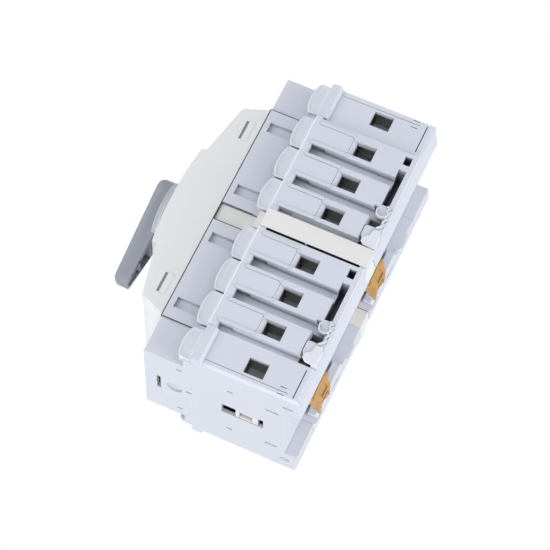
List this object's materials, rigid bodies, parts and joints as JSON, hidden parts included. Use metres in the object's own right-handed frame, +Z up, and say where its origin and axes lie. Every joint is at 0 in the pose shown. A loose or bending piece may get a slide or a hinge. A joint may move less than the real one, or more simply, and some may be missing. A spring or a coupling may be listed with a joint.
{
  "type": "changeover switch",
  "caption": "Rail-mounted manual changeover switch: pale plastic bodies, grey rotary handle, stepped cover, amber rail clips.",
  "frame": {"origin": "rail seat: middle of the width, on the plane of the rail's front face, at the height of the rail's middle", "axes": "+X to the right as seen from the front, +Y back towards the rail, +Z up"},
  "size_m": [0.129, 0.0935, 0.066],
  "materials": {
    "body_plastic": "fine moulded",
    "cover_plastic": "fine moulded",
    "cream_plastic": "moulded",
    "handle_plastic": "moulded",
    "amber_plastic": "moulded",
    "screw_steel": "zinc plated",
    "contact_metal": "stamped copper alloy"
  },
  "bodies": {
    "housing": {"base_left": "body_plastic", "front_left": "body_plastic", "pole4_base_left": "body_plastic", "pole4_front_left": "body_plastic", "base_right": "body_plastic", "front_right": "body_plastic", "pole4_base_right": "body_plastic", "pole4_front_right": "body_plastic", "spacer": "cream_plastic", "cover": "cover_plastic", "terminal_screws_left": "screw_steel", "clamp_cages_left": "screw_steel", "fixed_contacts_left": "contact_metal", "terminal_screws_right": "screw_steel", "clamp_cages_right": "screw_steel", "fixed_contacts_right": "contact_metal"},
    "handle": {"handle": "handle_plastic", "dial_ring": "body_plastic", "cam_drum": "cream_plastic"},
    "carriage_left": {"carriage_left": "cream_plastic", "bridge_contacts_left": "contact_metal", "contact_springs_left": "screw_steel"},
    "rail_clip_left": {"rail_clip_left": "amber_plastic"},
    "carriage_right": {"carriage_right": "cream_plastic", "bridge_contacts_right": "contact_metal", "contact_springs_right": "screw_steel"},
    "rail_clip_right": {"rail_clip_right": "amber_plastic"}
  },
  "joints": [
    {"name": "handle_turn", "type": "hinge", "parent": "housing", "child": "handle", "pos_m": [0, -0.07, 0], "axis": [0, 1, 0], "range_deg": [0, 180]},
    {"name": "left_contacts_slide", "type": "slide", "parent": "housing", "child": "carriage_left", "axis": [0, -1, 0], "range_m": [0, 0.00551]},
    {"name": "right_contacts_slide", "type": "slide", "parent": "housing", "child": "carriage_right", "axis": [0, 1, 0], "range_m": [0, 0.00551]},
    {"name": "left_rail_clip_slide", "type": "slide", "parent": "housing", "child": "rail_clip_left", "axis": [0, 0, -1], "range_m": [0, 0.004], "stiffness_N_per_m": 400},
    {"name": "right_rail_clip_slide", "type": "slide", "parent": "housing", "child": "rail_clip_right", "axis": [0, 0, -1], "range_m": [0, 0.004], "stiffness_N_per_m": 400}
  ],
  "couplings": [
    {"joint": "left_contacts_slide", "follows": "handle_turn", "m_per_rad": 0.0017507},
    {"joint": "right_contacts_slide", "follows": "handle_turn", "m_per_rad": 0.0017507}
  ]
}
